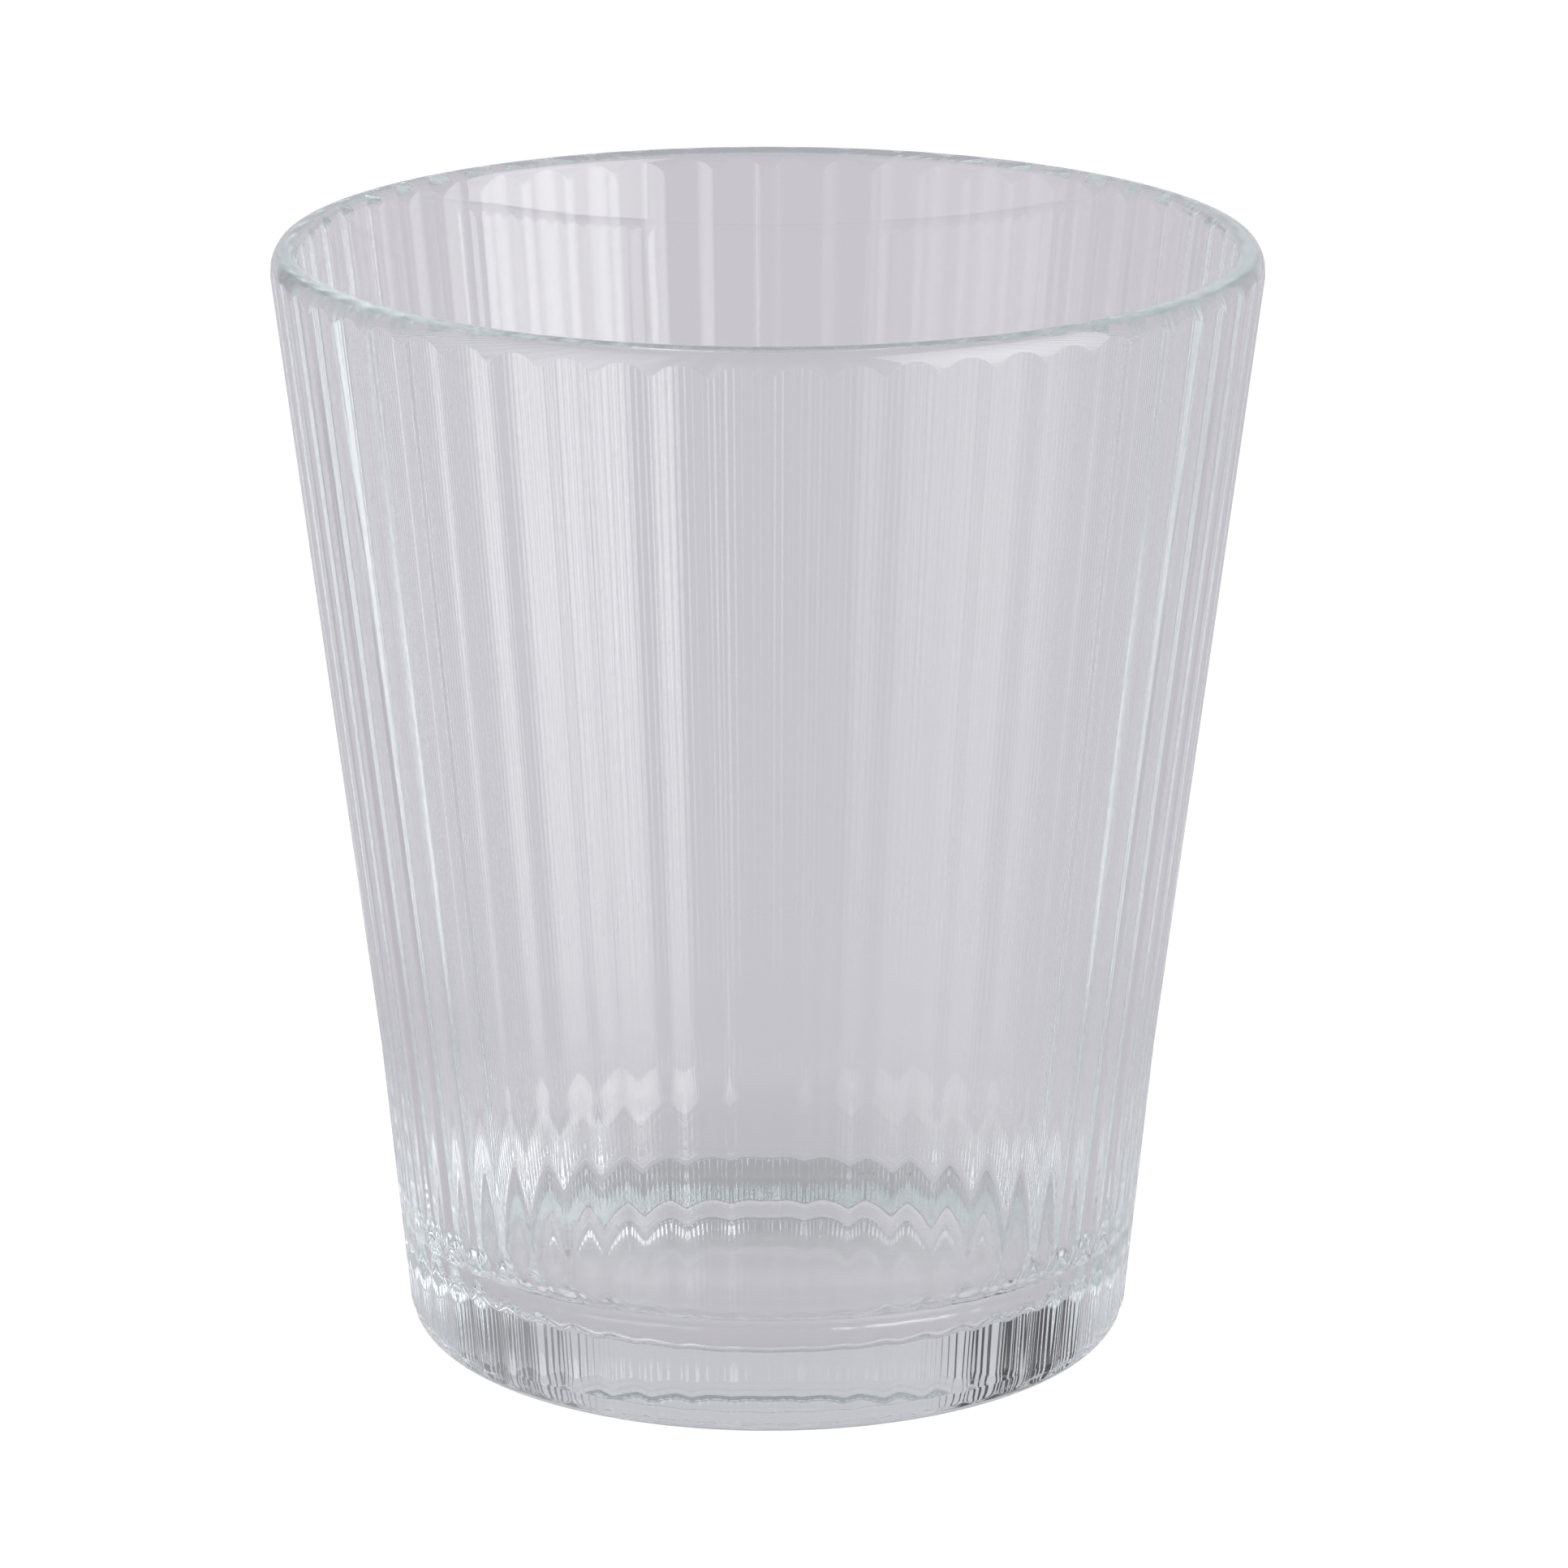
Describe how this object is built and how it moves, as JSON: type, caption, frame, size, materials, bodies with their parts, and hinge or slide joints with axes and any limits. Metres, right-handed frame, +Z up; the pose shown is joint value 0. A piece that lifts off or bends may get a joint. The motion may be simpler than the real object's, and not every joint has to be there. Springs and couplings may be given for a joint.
{
  "type": "juice glass",
  "caption": "Clear pressed-glass juice tumbler: flared wall with straight shallow flutes, full-round plain lip, thick base with a rounded heel, a plain foot ring and a bowl-shaped floor.",
  "frame": {"origin": "centre of the underside, in the plane of the foot ring that stands on the table", "axes": "+Z up the axis of the glass; -Y towards the side that faces the viewer, where a ridge between two flutes lies"},
  "size_m": [0.08, 0.08, 0.0912],
  "materials": {
    "clear_glass": "fire-polished, clear, faint green in the thick base"
  },
  "bodies": {
    "root": {"foot": "clear_glass", "base": "clear_glass", "wall": "clear_glass", "lip": "clear_glass"}
  },
  "joints": []
}
